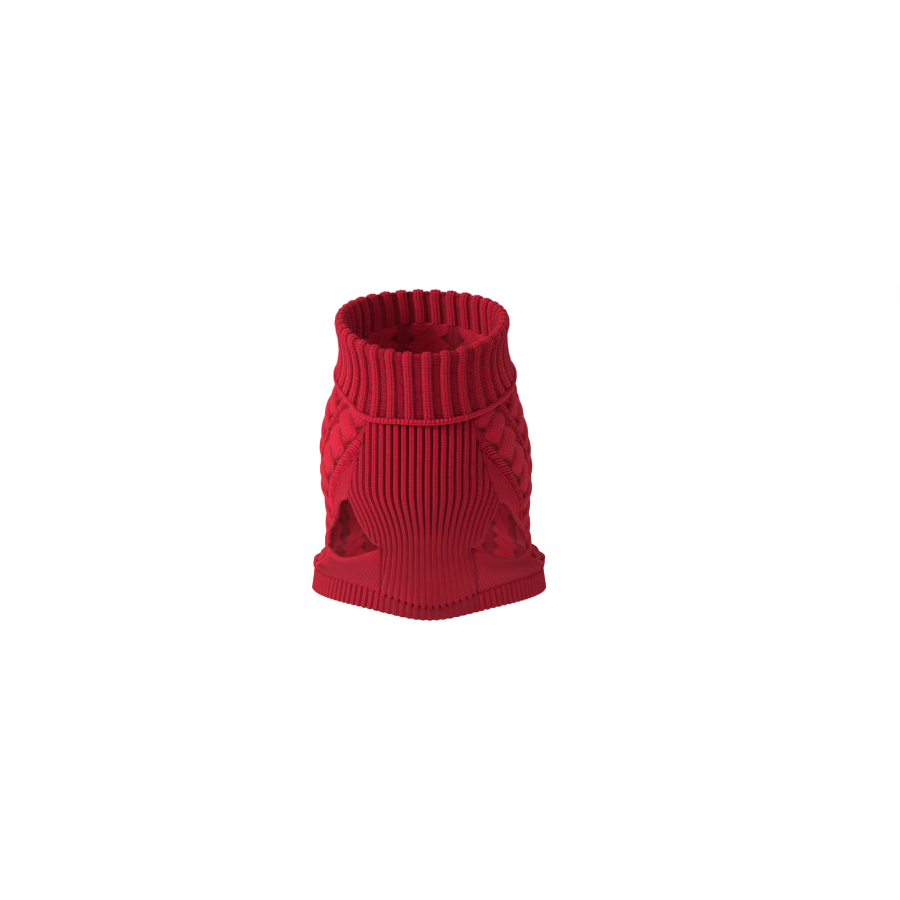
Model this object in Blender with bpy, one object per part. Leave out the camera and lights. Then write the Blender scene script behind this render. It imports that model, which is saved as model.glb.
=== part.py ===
"""Cable-knit turtleneck sweater for a medium dog, held in the hollow form that it has when it is worn.

Lengths in the tables are millimetres and angles are degrees. +Z is up and the chest faces -Y. The origin lies
in the middle of the trunk hollow, level with the shoulders. Every piece of cloth is one thin wall: its outer
face is worked out from rings, and its inner face lies one wall thickness further in.
"""

import math
from collections import namedtuple

import bmesh
import bpy
import numpy as np

METRE = 0.001
WALL = 3.0
SEAM_GAP = 0.36
NUDGE = 1e-3

# A ring runs once round the dog. Its front and back points lie at centre_x, half_width is its reach to each
# side at side_y, side_lift raises its sides off the plane through its front and back, and front_dip lowers it
# at the very front.
Ring = namedtuple(
    "Ring", "name front_y front_z back_y back_z side_y half_width side_lift front_dip centre_x"
)
COLUMNS = range(1, len(Ring._fields))
DIP_ANGLE = math.radians(23)

BODY_RINGS = (
    Ring("neckline", -98, 86, 82, 150, -4, 82, 0, 0, -1),
    Ring("collar_edge", -112, 66, 97, 130, -4, 90, 0, 0, -1),
    Ring("shoulder", -120, 43, 107, 110, -3, 99.5, 0, 0, -1),
    Ring("chest", -125, 14, 117, 83, 0, 106, 0, 0, -1),
    Ring("breast", -122, -14, 130, 50, 8, 111, 0, 0, -0.5),
    Ring("armhole_top", -113, -36, 146, 16, 18, 112, -1, 0, 1.5),
    Ring("armhole_middle", -105, -53, 161, -17, 31, 108.5, -6, 0, 2.5),
    Ring("armhole_low", -93, -70, 182, -62, 50, 111, -20, 0, 3),
    Ring("blouse", -76, -98, 205, -98, 74, 118.5, -6, 2, 4),
    Ring("band_top", -50, -120, 228, -139, 92, 125, 10, 18.5, 4),
    Ring("hem", -36, -146, 244, -164, 106, 130, 9.5, 9, 4),
)
NECKLINE = 0.0
ARMHOLE_LOW = 7.0
BAND_TOP = 9.0
HEM = 10.0

# The chest panel's side edge: a seam, then from its fifth to its ninth point the front of the armhole.
EdgePoint = namedtuple("EdgePoint", "angle z")
CHEST_EDGE = (
    EdgePoint(31.0, 90),
    EdgePoint(34.5, 66),
    EdgePoint(36.0, 36),
    EdgePoint(39.5, 6),
    EdgePoint(44.0, -22),
    EdgePoint(40.0, -39),
    EdgePoint(36.5, -52),
    EdgePoint(31.5, -64),
    EdgePoint(25.0, -73),
    EdgePoint(24.5, -100),
    EdgePoint(24.0, -132),
    EdgePoint(24.5, -150),
)
HIGH_CORNER = 4
LOW_CORNER = 8

# The sweater sits a little turned on its wearer: how far the panels' edges are turned at each body ring.
PANEL_TURN = (-3.0, -3.0, -3.0, -2.8, -2.4, -2.5, -2.1, -0.8, -0.4, -0.3, -0.3)

# The back panel's free edge, from the armhole's top corner round its outer side to its back end.
ARMHOLE_EDGE = (
    EdgePoint(44.0, -22),
    EdgePoint(50.0, -25),
    EdgePoint(54.5, -32),
    EdgePoint(58.5, -41),
    EdgePoint(63.0, -50),
    EdgePoint(68.5, -58),
    EdgePoint(75.0, -66),
    EdgePoint(79.0, -75),
    EdgePoint(78.0, -88),
)
ARMHOLE_END = math.radians(78)
HANG = 0.36
HANG_RINGS = 0.6
HANG_MIDDLE = math.radians(51.5)
HANG_HALF = math.radians(26.5)

# Broad soft hollows (depth above 0) and swellings (depth below 0) in the worn cloth.
Dent = namedtuple("Dent", "angle ring half_angle half_rings depth")
BODY_DENTS = (
    Dent(-66, 3.6, 13, 0.5, 1.6),
    Dent(70, 4.3, 15, 0.5, 1.4),
    Dent(-104, 7.4, 16, 0.45, 2.6),
    Dent(112, 7.2, 18, 0.4, 2.4),
    Dent(-97, 8.35, 34, 0.55, -5.5),
    Dent(95, 8.2, 32, 0.55, -7.0),
    Dent(158, 6.1, 30, 0.45, 2.2),
    Dent(-150, 7.3, 34, 0.4, 2.4),
    Dent(176, 8.3, 36, 0.35, -2.2),
    Dent(0, 8.4, 14, 0.5, 1.8),
)

# The middle of the collar's cloth: up the inner layer, over the fold, and down the turned-down flap.
COLLAR_INNER = Ring("collar_inner", -98, 103, 80, 166, -4, 79.5, 4.5, 0, -2)
COLLAR_FOLD = Ring("collar_fold", -99, 126, 84, 180, -5, 84.8, 5, 0, -3.5)
COLLAR_FLAP = (
    Ring("flap_high", -107, 112, 92, 170, -5, 85.4, 4.5, 0, -3.5),
    Ring("flap_middle", -113, 97, 97, 158, -5, 85.4, 3, 0, -2.5),
    Ring("flap_low", -117, 81, 101, 146, -5, 88.6, 2, 0, -1.5),
    Ring("flap_edge", -118.5, 64, 103, 132, -5, 93.4, 4, 0, -0.5),
)
FOLD_RADIUS = 3.4
FOLD_TURNS = (45, 90, 135)
COLLAR_TILT = math.radians(16)

# Upright waves where the turned-down rib gathers. Each stands proud most in the middle of the flap.
Wave = namedtuple("Wave", "angle half_angle height")
COLLAR_WAVES = (
    Wave(-58, 7, 1.6),
    Wave(-76, 8, 2.2),
    Wave(-97, 9, 1.8),
    Wave(54, 7, 1.5),
    Wave(72, 8, 2.3),
    Wave(91, 8, 1.7),
    Wave(128, 11, 1.8),
    Wave(168, 12, 1.4),
    Wave(-141, 11, 1.7),
)

UPPER_ROWS = 8
ARMHOLE_ROWS = 8
LOWER_ROWS = 6
BAND_ROWS = 2
CHEST_COLUMNS = 14
BELLY_SEAM_COLUMNS = 9
BACK_COLUMNS = 17
FIRST_COLUMN = math.radians(22)
COLLAR_COLUMNS = 60


def spline(values, place):
    """The Catmull-Rom curve through evenly spaced values, read at place, in steps between values."""
    values = np.asarray(values, float)
    padded = np.concatenate([2 * values[:1] - values[1:2], values, 2 * values[-1:] - values[-2:-1]])
    step = np.clip(np.floor(place).astype(int), 0, len(values) - 2)
    f = place - step
    before, here, after, beyond = (padded[step + k] for k in range(4))
    start = (after - before) / 2
    end = (beyond - here) / 2
    rise = after - here
    return here + start * f + (3 * rise - 2 * start - end) * f**2 + (start + end - 2 * rise) * f**3


def ring_points(
    angle, front_y, front_z, back_y, back_z, side_y, half_width, side_lift, front_dip, centre_x
):
    """Points of a ring at the given angles: 0 is the front centre, plus and minus pi the back centre."""
    ahead = np.maximum(np.cos(angle), 0)
    behind = np.maximum(-np.cos(angle), 0)
    y = side_y + (front_y - side_y) * ahead + (back_y - side_y) * behind
    z = front_z + (back_z - front_z) * (y - front_y) / (back_y - front_y)
    z = z + side_lift * np.sin(angle) ** 2 - front_dip * np.exp(-((angle / DIP_ANGLE) ** 2))
    return np.stack([centre_x + half_width * np.sin(angle), y, z], -1)


def hung(angle, ring):
    """Ring places, moved down where the armhole's lower edge hangs in a curve."""
    nearest = (angle + math.pi) % (2 * math.pi) - math.pi
    aside = np.clip((np.abs(nearest) - HANG_MIDDLE) / HANG_HALF, -1, 1)
    return ring + HANG * np.cos(aside * math.pi / 2) ** 2 * np.exp(-(((ring - ARMHOLE_LOW) / HANG_RINGS) ** 2))


def plain_body(angle, ring):
    """The trunk's outer face without its dents. ring counts the rows of BODY_RINGS."""
    place = hung(angle, ring)
    return ring_points(angle, *(spline([row[k] for row in BODY_RINGS], place) for k in COLUMNS))


def outward(surface, angle, ring):
    """The outward unit normal of surface(angle, ring)."""
    across = surface(angle + NUDGE, ring) - surface(angle - NUDGE, ring)
    along = surface(angle, ring + NUDGE) - surface(angle, ring - NUDGE)
    normal = np.cross(along, across)
    return normal / np.linalg.norm(normal, axis=-1, keepdims=True)


def body(angle, ring):
    """The trunk's outer face, with its dents."""
    depth = np.zeros(np.broadcast(angle, ring).shape)
    for dent in BODY_DENTS:
        turn = (np.degrees(angle) - dent.angle + 180) % 360 - 180
        reach = (turn / dent.half_angle) ** 2 + ((ring - dent.ring) / dent.half_rings) ** 2
        depth += dent.depth * np.exp(-reach)
    return plain_body(angle, ring) - outward(plain_body, angle, ring) * depth[..., None]


def walls(angle, ring):
    """The outer and inner points of the trunk's wall."""
    outer = body(angle, ring)
    return outer, outer - outward(body, angle, ring) * WALL


def across_gap(angle, ring):
    """The turn in angle that is one seam gap wide."""
    reach = np.linalg.norm(plain_body(angle + NUDGE, ring) - plain_body(angle, ring), axis=-1)
    return SEAM_GAP * NUDGE / reach


def along_gap(angle, ring):
    """The step in ring place that is one seam gap wide."""
    reach = np.linalg.norm(plain_body(angle, ring + NUDGE) - plain_body(angle, ring), axis=-1)
    return SEAM_GAP * NUDGE / reach


def outline(points):
    """Ring places and angles of an edge that is given by angles and heights."""
    ladder = np.linspace(NECKLINE, HEM, 401)
    places = []
    for point in points:
        heights = plain_body(np.full_like(ladder, math.radians(point.angle)), ladder)[:, 2]
        places.append(np.interp(-point.z, -heights, ladder))
    return np.array(places), np.radians([point.angle for point in points])


CHEST_PLACES, CHEST_ANGLES = outline(CHEST_EDGE)
CHEST_PLACES[LOW_CORNER] = ARMHOLE_LOW
ARMHOLE_HIGH = CHEST_PLACES[HIGH_CORNER]
ARMHOLE_PLACES, ARMHOLE_ANGLES = outline(ARMHOLE_EDGE)
ARMHOLE_PLACES[-1] = ARMHOLE_LOW


def chest_edge(ring):
    """The angle of the chest panel's side edge, from the panel's own middle."""
    return np.interp(ring, CHEST_PLACES, CHEST_ANGLES)


def turned(angle, ring):
    """Angles on the trunk of points that are at these angles from the middle of the chest panel."""
    return angle + spline(np.radians(PANEL_TURN), ring)


def back_seam_edge(ring):
    """The angle where the back panel starts along its seam with the chest panel."""
    return chest_edge(ring) + across_gap(chest_edge(ring), ring)


def back_upper_edge(ring):
    """The angle where the back panel starts above armhole_low: its seam, then the armhole's outer side."""
    return np.where(
        ring <= ARMHOLE_HIGH, back_seam_edge(ring), np.interp(ring, ARMHOLE_PLACES, ARMHOLE_ANGLES)
    )


UPPER = np.linspace(NECKLINE, ARMHOLE_HIGH, UPPER_ROWS + 1)
BESIDE_ARMHOLE = np.linspace(ARMHOLE_HIGH, ARMHOLE_LOW, ARMHOLE_ROWS + 1)
LOWER = np.linspace(ARMHOLE_LOW, BAND_TOP, LOWER_ROWS + 1)


def side_columns():
    """Angles of the back panel's columns, one of them at the back end of each armhole."""
    belly = np.linspace(FIRST_COLUMN, ARMHOLE_END, BELLY_SEAM_COLUMNS + 1)
    back = np.linspace(ARMHOLE_END, math.pi, BACK_COLUMNS + 1)
    half = np.concatenate([belly, back[1:]])
    return np.concatenate([half, 2 * math.pi - half[-2::-1]])


def held_between(angle, limit):
    """Angles moved in to the panel's two side edges where they lie beyond them."""
    return np.clip(angle, limit, 2 * math.pi - limit)


class Cloth:
    """A sheet known by its outer and inner points, closed into one wall along its borders."""

    def __init__(self):
        self.number = {}
        self.outer = []
        self.inner = []
        self.faces = []

    def vertex(self, outer, inner):
        """The number of this point. Points that coincide share one."""
        key = tuple(np.round(outer, 3))
        if key not in self.number:
            self.number[key] = len(self.outer)
            self.outer.append(outer)
            self.inner.append(inner)
        return self.number[key]

    def add_grid(self, outer, inner, wrap=False):
        """Adds the faces between the rows of two arrays of points, leaving out those with no area."""
        rows, columns = outer.shape[:2]
        number = [[self.vertex(outer[r, c], inner[r, c]) for c in range(columns)] for r in range(rows)]
        for r in range(rows - 1):
            for c in range(columns if wrap else columns - 1):
                d = (c + 1) % columns
                face = list(dict.fromkeys([number[r][c], number[r][d], number[r + 1][d], number[r + 1][c]]))
                if len(face) > 2:
                    self.faces.append(face)

    def border(self):
        """The directed edges that only one face has."""
        edges = {}
        for face in self.faces:
            for a, b in zip(face, face[1:] + face[:1]):
                edges[a, b] = (b, a)
        return [edge for edge, turned in edges.items() if turned not in edges]

    def build(self, name, colour):
        mesh = bmesh.new()
        outer = [mesh.verts.new(point * METRE) for point in self.outer]
        inner = [mesh.verts.new(point * METRE) for point in self.inner]
        for face in self.faces:
            mesh.faces.new([outer[k] for k in face])
            mesh.faces.new([inner[k] for k in reversed(face)])
        for a, b in self.border():
            mesh.faces.new([outer[b], outer[a], inner[a], inner[b]])
        bmesh.ops.triangulate(mesh, faces=mesh.faces[:])
        bmesh.ops.recalc_face_normals(mesh, faces=mesh.faces[:])
        data = bpy.data.meshes.new(name)
        mesh.to_mesh(data)
        mesh.free()
        data.materials.append(wool(name + "_wool", colour))
        data.shade_smooth()
        data.set_sharp_from_angle(angle=math.radians(50))
        obj = bpy.data.objects.new(name, data)
        bpy.context.scene.collection.objects.link(obj)


def wool(name, colour):
    material = bpy.data.materials.new(name)
    material.use_nodes = True
    shader = material.node_tree.nodes["Principled BSDF"]
    shader.inputs["Base Color"].default_value = (*colour, 1)
    shader.inputs["Roughness"].default_value = 0.9
    shader.inputs["Metallic"].default_value = 0.0
    shader.inputs["Sheen Weight"].default_value = 0.3
    return material


def make_chest_panel():
    cloth = Cloth()
    rows = np.unique(np.concatenate([UPPER, BESIDE_ARMHOLE, LOWER]))
    ring, share = np.meshgrid(rows, np.linspace(-1, 1, CHEST_COLUMNS + 1), indexing="ij")
    cloth.add_grid(*walls(turned(share * chest_edge(ring), ring), ring))
    cloth.build("chest_panel", (0.34, 0.010, 0.025))


def make_back_panel():
    cloth = Cloth()
    above = np.unique(np.concatenate([UPPER, BESIDE_ARMHOLE]))
    for rows, edge in ((above, back_upper_edge), (LOWER, back_seam_edge)):
        ring, angle = np.meshgrid(rows, side_columns(), indexing="ij")
        cloth.add_grid(*walls(turned(held_between(angle, edge(ring)), ring), ring))
    cloth.build("back_panel", (0.38, 0.012, 0.028))


def band_rows(angle):
    """Ring places of a hem band's rows at each angle, from one seam gap below the panels to the hem."""
    top = BAND_TOP + along_gap(angle, np.full_like(angle, BAND_TOP))
    return top + (HEM - top) * np.linspace(0, 1, BAND_ROWS + 1)[:, None]


def make_belly_hem():
    cloth = Cloth()
    share = np.linspace(-1, 1, CHEST_COLUMNS + 1)
    ring = band_rows(share * chest_edge(BAND_TOP))
    cloth.add_grid(*walls(turned(share * chest_edge(ring), ring), ring))
    cloth.build("belly_hem", (0.33, 0.010, 0.024))


def make_back_hem():
    cloth = Cloth()
    angle = side_columns()
    ring = band_rows(held_between(angle, chest_edge(BAND_TOP)))
    cloth.add_grid(*walls(turned(held_between(angle, back_seam_edge(ring)), ring), ring))
    cloth.build("back_hem", (0.36, 0.011, 0.026))


def collar_middle(angle):
    """Rows of points down the middle of the collar's cloth, from above the neck seam to the flap's edge."""
    rings = [ring_points(angle, *row[1:]) for row in (COLLAR_INNER, COLLAR_FOLD, *COLLAR_FLAP)]
    up = np.array([0.0, -math.sin(COLLAR_TILT), math.cos(COLLAR_TILT)])
    along = np.roll(rings[1], -1, axis=0) - np.roll(rings[1], 1, axis=0)
    out = np.cross(along, up)
    out /= np.linalg.norm(out, axis=-1, keepdims=True)
    turns = [math.radians(turn) for turn in (0, *FOLD_TURNS, 180)]
    fold = [rings[1] + FOLD_RADIUS * (up * math.sin(turn) - out * math.cos(turn)) for turn in turns]
    return np.array([rings[0], *fold, *rings[2:]])


def collar_wave(angle, row, rows):
    """How far the waves push the cloth out, in each row of the flap."""
    flap = np.clip((row - rows + len(COLLAR_FLAP) + 1) / (len(COLLAR_FLAP) + 1), 0, 1)
    height = np.zeros_like(angle)
    for wave in COLLAR_WAVES:
        turn = (np.degrees(angle) - wave.angle + 180) % 360 - 180
        height += wave.height * np.exp(-((turn / wave.half_angle) ** 2))
    return height * math.sin(math.pi * flap)


def make_collar():
    angle = np.linspace(0, 2 * math.pi, COLLAR_COLUMNS, endpoint=False)
    middle = collar_middle(angle)
    across = np.roll(middle, -1, axis=1) - np.roll(middle, 1, axis=1)
    along = np.gradient(middle, axis=0)
    normal = np.cross(across, along)
    normal /= np.linalg.norm(normal, axis=-1, keepdims=True)
    for row in range(len(middle)):
        middle[row] += normal[row] * collar_wave(angle, row, len(middle))[:, None]
    neck = np.array(walls(angle, np.full_like(angle, NECKLINE)))
    neck += SEAM_GAP * np.array([0.0, -math.sin(COLLAR_TILT), math.cos(COLLAR_TILT)])
    inner_side = np.concatenate([neck[1:], middle + normal * (WALL / 2)])
    outer_side = np.concatenate([neck[:1], middle - normal * (WALL / 2)])
    cloth = Cloth()
    cloth.add_grid(outer_side, inner_side, wrap=True)
    cloth.build("collar", (0.32, 0.010, 0.024))


for old in list(bpy.data.objects):
    bpy.data.objects.remove(old, do_unlink=True)
make_collar()
make_chest_panel()
make_back_panel()
make_belly_hem()
make_back_hem()
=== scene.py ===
"""The looks of the cable-knit dog sweater: every knitted panel as relief on the form of its CAD solid.

Lengths in the tables are millimetres and angles are degrees, as in part.py, whose rings and edges are
repeated here. Each panel is a closed shell. Its face carries the ribs, cables and seams as real relief,
and its material adds the single stitches.
"""

import math
from collections import namedtuple

import bpy
import numpy as np
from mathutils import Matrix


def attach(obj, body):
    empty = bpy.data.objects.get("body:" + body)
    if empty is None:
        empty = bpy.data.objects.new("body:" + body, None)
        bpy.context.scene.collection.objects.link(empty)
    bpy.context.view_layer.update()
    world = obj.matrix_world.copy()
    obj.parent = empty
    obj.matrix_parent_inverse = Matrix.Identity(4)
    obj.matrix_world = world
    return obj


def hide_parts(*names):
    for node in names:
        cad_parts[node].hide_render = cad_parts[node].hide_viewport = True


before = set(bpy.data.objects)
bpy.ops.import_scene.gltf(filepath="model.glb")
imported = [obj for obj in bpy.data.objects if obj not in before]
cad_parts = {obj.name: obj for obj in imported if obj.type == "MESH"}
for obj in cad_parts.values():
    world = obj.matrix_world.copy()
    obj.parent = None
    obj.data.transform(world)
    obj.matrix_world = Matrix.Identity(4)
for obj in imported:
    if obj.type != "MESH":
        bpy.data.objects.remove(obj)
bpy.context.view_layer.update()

METRE = 0.001
NUDGE = 1e-3

# ---- the form, as in part.py

Ring = namedtuple(
    "Ring", "name front_y front_z back_y back_z side_y half_width side_lift front_dip centre_x"
)
COLUMNS = range(1, len(Ring._fields))
DIP_ANGLE = math.radians(23)

BODY_RINGS = (
    Ring("neckline", -98, 86, 82, 150, -4, 82, 0, 0, -1),
    Ring("collar_edge", -112, 66, 97, 130, -4, 90, 0, 0, -1),
    Ring("shoulder", -120, 43, 107, 110, -3, 99.5, 0, 0, -1),
    Ring("chest", -125, 14, 117, 83, 0, 106, 0, 0, -1),
    Ring("breast", -122, -14, 130, 50, 8, 111, 0, 0, -0.5),
    Ring("armhole_top", -113, -36, 146, 16, 18, 112, -1, 0, 1.5),
    Ring("armhole_middle", -105, -53, 161, -17, 31, 108.5, -6, 0, 2.5),
    Ring("armhole_low", -93, -70, 182, -62, 50, 111, -20, 0, 3),
    Ring("blouse", -76, -98, 205, -98, 74, 118.5, -6, 2, 4),
    Ring("band_top", -50, -120, 228, -139, 92, 125, 10, 18.5, 4),
    Ring("hem", -36, -146, 244, -164, 106, 130, 9.5, 9, 4),
)
NECKLINE = 0.0
ARMHOLE_LOW = 7.0
BAND_TOP = 9.0
HEM = 10.0

# Each edge is a row of points: the angle and the height.
CHEST_EDGE = (
    (31.0, 90), (34.5, 66), (36.0, 36), (39.5, 6), (44.0, -22), (40.0, -39),
    (36.5, -52), (31.5, -64), (25.0, -73), (24.5, -100), (24.0, -132), (24.5, -150),
)
HIGH_CORNER = 4
LOW_CORNER = 8
PANEL_TURN = (-3.0, -3.0, -3.0, -2.8, -2.4, -2.5, -2.1, -0.8, -0.4, -0.3, -0.3)

ARMHOLE_EDGE = (
    (44.0, -22), (50.0, -25), (54.5, -32), (58.5, -41), (63.0, -50), (68.5, -58),
    (75.0, -66), (79.0, -75), (78.0, -88),
)
ARMHOLE_END = math.radians(78)
HANG = 0.36
HANG_RINGS = 0.6
HANG_MIDDLE = math.radians(51.5)
HANG_HALF = math.radians(26.5)

Dent = namedtuple("Dent", "angle ring half_angle half_rings depth")
BODY_DENTS = (
    Dent(-66, 3.6, 13, 0.5, 1.6),
    Dent(70, 4.3, 15, 0.5, 1.4),
    Dent(-104, 7.4, 16, 0.45, 2.6),
    Dent(112, 7.2, 18, 0.4, 2.4),
    Dent(-97, 8.35, 34, 0.55, -5.5),
    Dent(95, 8.2, 32, 0.55, -7.0),
    Dent(158, 6.1, 30, 0.45, 2.2),
    Dent(-150, 7.3, 34, 0.4, 2.4),
    Dent(176, 8.3, 36, 0.35, -2.2),
    Dent(0, 8.4, 14, 0.5, 1.8),
)

COLLAR_INNER = Ring("collar_inner", -98, 103, 80, 166, -4, 79.5, 4.5, 0, -2)
COLLAR_FOLD = Ring("collar_fold", -99, 126, 84, 180, -5, 84.8, 5, 0, -3.5)
COLLAR_FLAP = (
    Ring("flap_high", -107, 112, 92, 170, -5, 85.4, 4.5, 0, -3.5),
    Ring("flap_middle", -113, 97, 97, 158, -5, 85.4, 3, 0, -2.5),
    Ring("flap_low", -117, 81, 101, 146, -5, 88.6, 2, 0, -1.5),
    Ring("flap_edge", -118.5, 64, 103, 132, -5, 93.4, 4, 0, -0.5),
)
FOLD_RADIUS = 3.4
FOLD_TURNS = (45, 90, 135)
COLLAR_TILT = math.radians(16)

Wave = namedtuple("Wave", "angle half_angle height")
COLLAR_WAVES = (
    Wave(-58, 7, 1.6),
    Wave(-76, 8, 2.2),
    Wave(-97, 9, 1.8),
    Wave(54, 7, 1.5),
    Wave(72, 8, 2.3),
    Wave(91, 8, 1.7),
    Wave(128, 11, 1.8),
    Wave(168, 12, 1.4),
    Wave(-141, 11, 1.7),
)


def wrapped_angle(angle):
    """The same angle, from minus pi to pi."""
    return (angle + math.pi) % (2 * math.pi) - math.pi


def degrees_from(angle, middle):
    """How far an angle lies from a middle that is given in degrees, from -180 to 180."""
    return (np.degrees(angle) - middle + 180) % 360 - 180


def bell(distance, reach):
    """A soft bump of height 1 that has almost gone at twice its reach."""
    return np.exp(-((distance / reach) ** 2))


def spline(values, place):
    """The Catmull-Rom curve through evenly spaced values, read at place, in steps between values."""
    values = np.asarray(values, float)
    padded = np.concatenate([2 * values[:1] - values[1:2], values, 2 * values[-1:] - values[-2:-1]])
    step = np.clip(np.floor(place).astype(int), 0, len(values) - 2)
    f = place - step
    before, here, after, beyond = (padded[step + k] for k in range(4))
    start = (after - before) / 2
    end = (beyond - here) / 2
    rise = after - here
    return here + start * f + (3 * rise - 2 * start - end) * f**2 + (start + end - 2 * rise) * f**3


def ring_points(
    angle, front_y, front_z, back_y, back_z, side_y, half_width, side_lift, front_dip, centre_x
):
    """Points of a ring at the given angles: 0 is the front centre, plus and minus pi the back centre."""
    ahead = np.maximum(np.cos(angle), 0)
    behind = np.maximum(-np.cos(angle), 0)
    y = side_y + (front_y - side_y) * ahead + (back_y - side_y) * behind
    z = front_z + (back_z - front_z) * (y - front_y) / (back_y - front_y)
    z = z + side_lift * np.sin(angle) ** 2 - front_dip * bell(wrapped_angle(angle), DIP_ANGLE)
    return np.stack([centre_x + half_width * np.sin(angle), y, z], -1)


def hung(angle, ring):
    """Ring places, moved down where the armhole's lower edge hangs in a curve."""
    aside = np.clip((np.abs(wrapped_angle(angle)) - HANG_MIDDLE) / HANG_HALF, -1, 1)
    return ring + HANG * np.cos(aside * math.pi / 2) ** 2 * bell(ring - ARMHOLE_LOW, HANG_RINGS)


def plain_body(angle, ring):
    """The trunk's outer face without its dents. ring counts the rows of BODY_RINGS."""
    place = hung(angle, ring)
    return ring_points(angle, *(spline([row[k] for row in BODY_RINGS], place) for k in COLUMNS))


def read_line(places, at, points):
    """Points at some places along a line of points."""
    return np.stack([np.interp(places, at, points[:, k]) for k in range(3)], -1)


def unit(vectors):
    return vectors / np.linalg.norm(vectors, axis=-1, keepdims=True)


def travelled(points):
    """How far down its column each point lies."""
    step = np.linalg.norm(np.diff(points, axis=0), axis=-1)
    return np.concatenate([np.zeros((1,) + step.shape[1:]), np.cumsum(step, axis=0)])


def outward(surface, angle, ring):
    """The outward unit normal of surface(angle, ring)."""
    across = surface(angle + NUDGE, ring) - surface(angle - NUDGE, ring)
    along = surface(angle, ring + NUDGE) - surface(angle, ring - NUDGE)
    return unit(np.cross(along, across))


def body(angle, ring):
    """The trunk's outer face, with its dents."""
    depth = np.zeros(np.broadcast(angle, ring).shape)
    for dent in BODY_DENTS:
        turn = degrees_from(angle, dent.angle)
        reach = (turn / dent.half_angle) ** 2 + ((ring - dent.ring) / dent.half_rings) ** 2
        depth += dent.depth * np.exp(-reach)
    return plain_body(angle, ring) - outward(plain_body, angle, ring) * depth[..., None]


def outline(points):
    """Ring places and angles of an edge that is given by angles and heights."""
    ladder = np.linspace(NECKLINE, HEM, 401)
    places = []
    for angle, z in points:
        heights = plain_body(np.full_like(ladder, math.radians(angle)), ladder)[:, 2]
        places.append(np.interp(-z, -heights, ladder))
    return np.array(places), np.radians([angle for angle, _ in points])


CHEST_PLACES, CHEST_ANGLES = outline(CHEST_EDGE)
CHEST_PLACES[LOW_CORNER] = ARMHOLE_LOW
ARMHOLE_HIGH = CHEST_PLACES[HIGH_CORNER]
ARMHOLE_PLACES, ARMHOLE_ANGLES = outline(ARMHOLE_EDGE)
ARMHOLE_PLACES[-1] = ARMHOLE_LOW


def chest_edge(ring):
    """The angle of the chest panel's side edge, from the panel's own middle."""
    return np.interp(ring, CHEST_PLACES, CHEST_ANGLES)


def armhole_edge(ring):
    """The angle of the back panel's free edge at the armhole, from the chest panel's middle."""
    return np.interp(ring, ARMHOLE_PLACES, ARMHOLE_ANGLES)


def panel_turn(ring):
    return spline(np.radians(PANEL_TURN), ring)


# ---- the knitting

ROW_PITCH = 2.2
FLANK = math.radians(120)
COURSE = 2.75
REVERSE_SHARE = 0.3
SEAM_DIP = 1.5
SEAM_REACH = 1.7
SEAM_SHADE = 0.9
SEAM_SHADE_REACH = 1.1
RIM_REACH = 2.6
RIM_DROP = 2.0
TUCK_REACH = 7.0
TUCK_DEPTH = 2.4
TUCK_SHADE = 0.75
NECK_RINGS = 0.35
NECK_LEVEL = -1.0
POINTS_AT_ONCE = 3000


def smooth_step(value, low, high):
    f = np.clip((value - low) / (high - low), 0, 1)
    return f * f * (3 - 2 * f)


def row_places(start, end, pitch=ROW_PITCH):
    """Ring places from start to end, about one pitch apart on the flank."""
    ladder = np.linspace(start, end, 101)
    points = plain_body(np.full_like(ladder, FLANK), ladder)
    run = travelled(points)
    count = max(2, round(run[-1] / pitch))
    return np.interp(np.linspace(0, run[-1], count + 1), run, ladder)


def distance_to(points, lines):
    """The distance of every point from the nearest point of some lines."""
    line = np.concatenate([each.reshape(-1, 3) for each in lines])
    flat = points.reshape(-1, 3)
    found = [
        np.sqrt(((part[:, None] - line[None]) ** 2).sum(-1).min(1))
        for part in np.array_split(flat, max(1, len(flat) // POINTS_AT_ONCE))
    ]
    return np.concatenate(found).reshape(points.shape[:-1])


def line_on_body(angle, ring):
    """Points at most about a millimetre apart along a line that is given by angles and ring places."""
    at = np.linspace(0, len(ring) - 1, 12 * len(ring))
    steps = np.arange(len(ring))
    places = np.interp(at, steps, ring)
    return body(np.interp(at, steps, angle) + panel_turn(places), places)


SEAM_RINGS = np.linspace(NECKLINE, ARMHOLE_HIGH, 24)
OPEN_RINGS = np.linspace(ARMHOLE_HIGH, ARMHOLE_LOW, 24)
LOW_RINGS = np.linspace(ARMHOLE_LOW, BAND_TOP, 12)
LOW_ANGLES = np.linspace(chest_edge(ARMHOLE_LOW), ARMHOLE_END, 16)
SEAMS = [
    line_on_body(side * chest_edge(rings), rings) for side in (-1, 1) for rings in (SEAM_RINGS, LOW_RINGS)
]
RIMS_OF_CHEST = [line_on_body(side * chest_edge(OPEN_RINGS), OPEN_RINGS) for side in (-1, 1)]
RIMS_OF_BACK = [line_on_body(side * ARMHOLE_ANGLES, ARMHOLE_PLACES) for side in (-1, 1)] + [
    line_on_body(side * LOW_ANGLES, np.full_like(LOW_ANGLES, ARMHOLE_LOW)) for side in (-1, 1)
]


def tuck(points):
    """How tightly the cloth is tucked in round the armholes' lower inner corners, from 0 to 1."""
    corners = [rim[-1:] for rim in RIMS_OF_CHEST]
    return bell(distance_to(points, corners), TUCK_REACH)


def rounded_rim(distance):
    """How far the face drops towards a free edge, as a quarter round."""
    f = np.clip(1 - distance / RIM_REACH, 0, 1)
    return RIM_DROP * (1 - np.sqrt(1 - f**2))


def seam_dip(distance):
    return SEAM_DIP * bell(distance, SEAM_REACH)


def seam_shade(distance, tucked):
    """How much painted shade lies in the cloth's seams and tucks."""
    return np.maximum(SEAM_SHADE * bell(distance, SEAM_SHADE_REACH), TUCK_SHADE * tucked)


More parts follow.
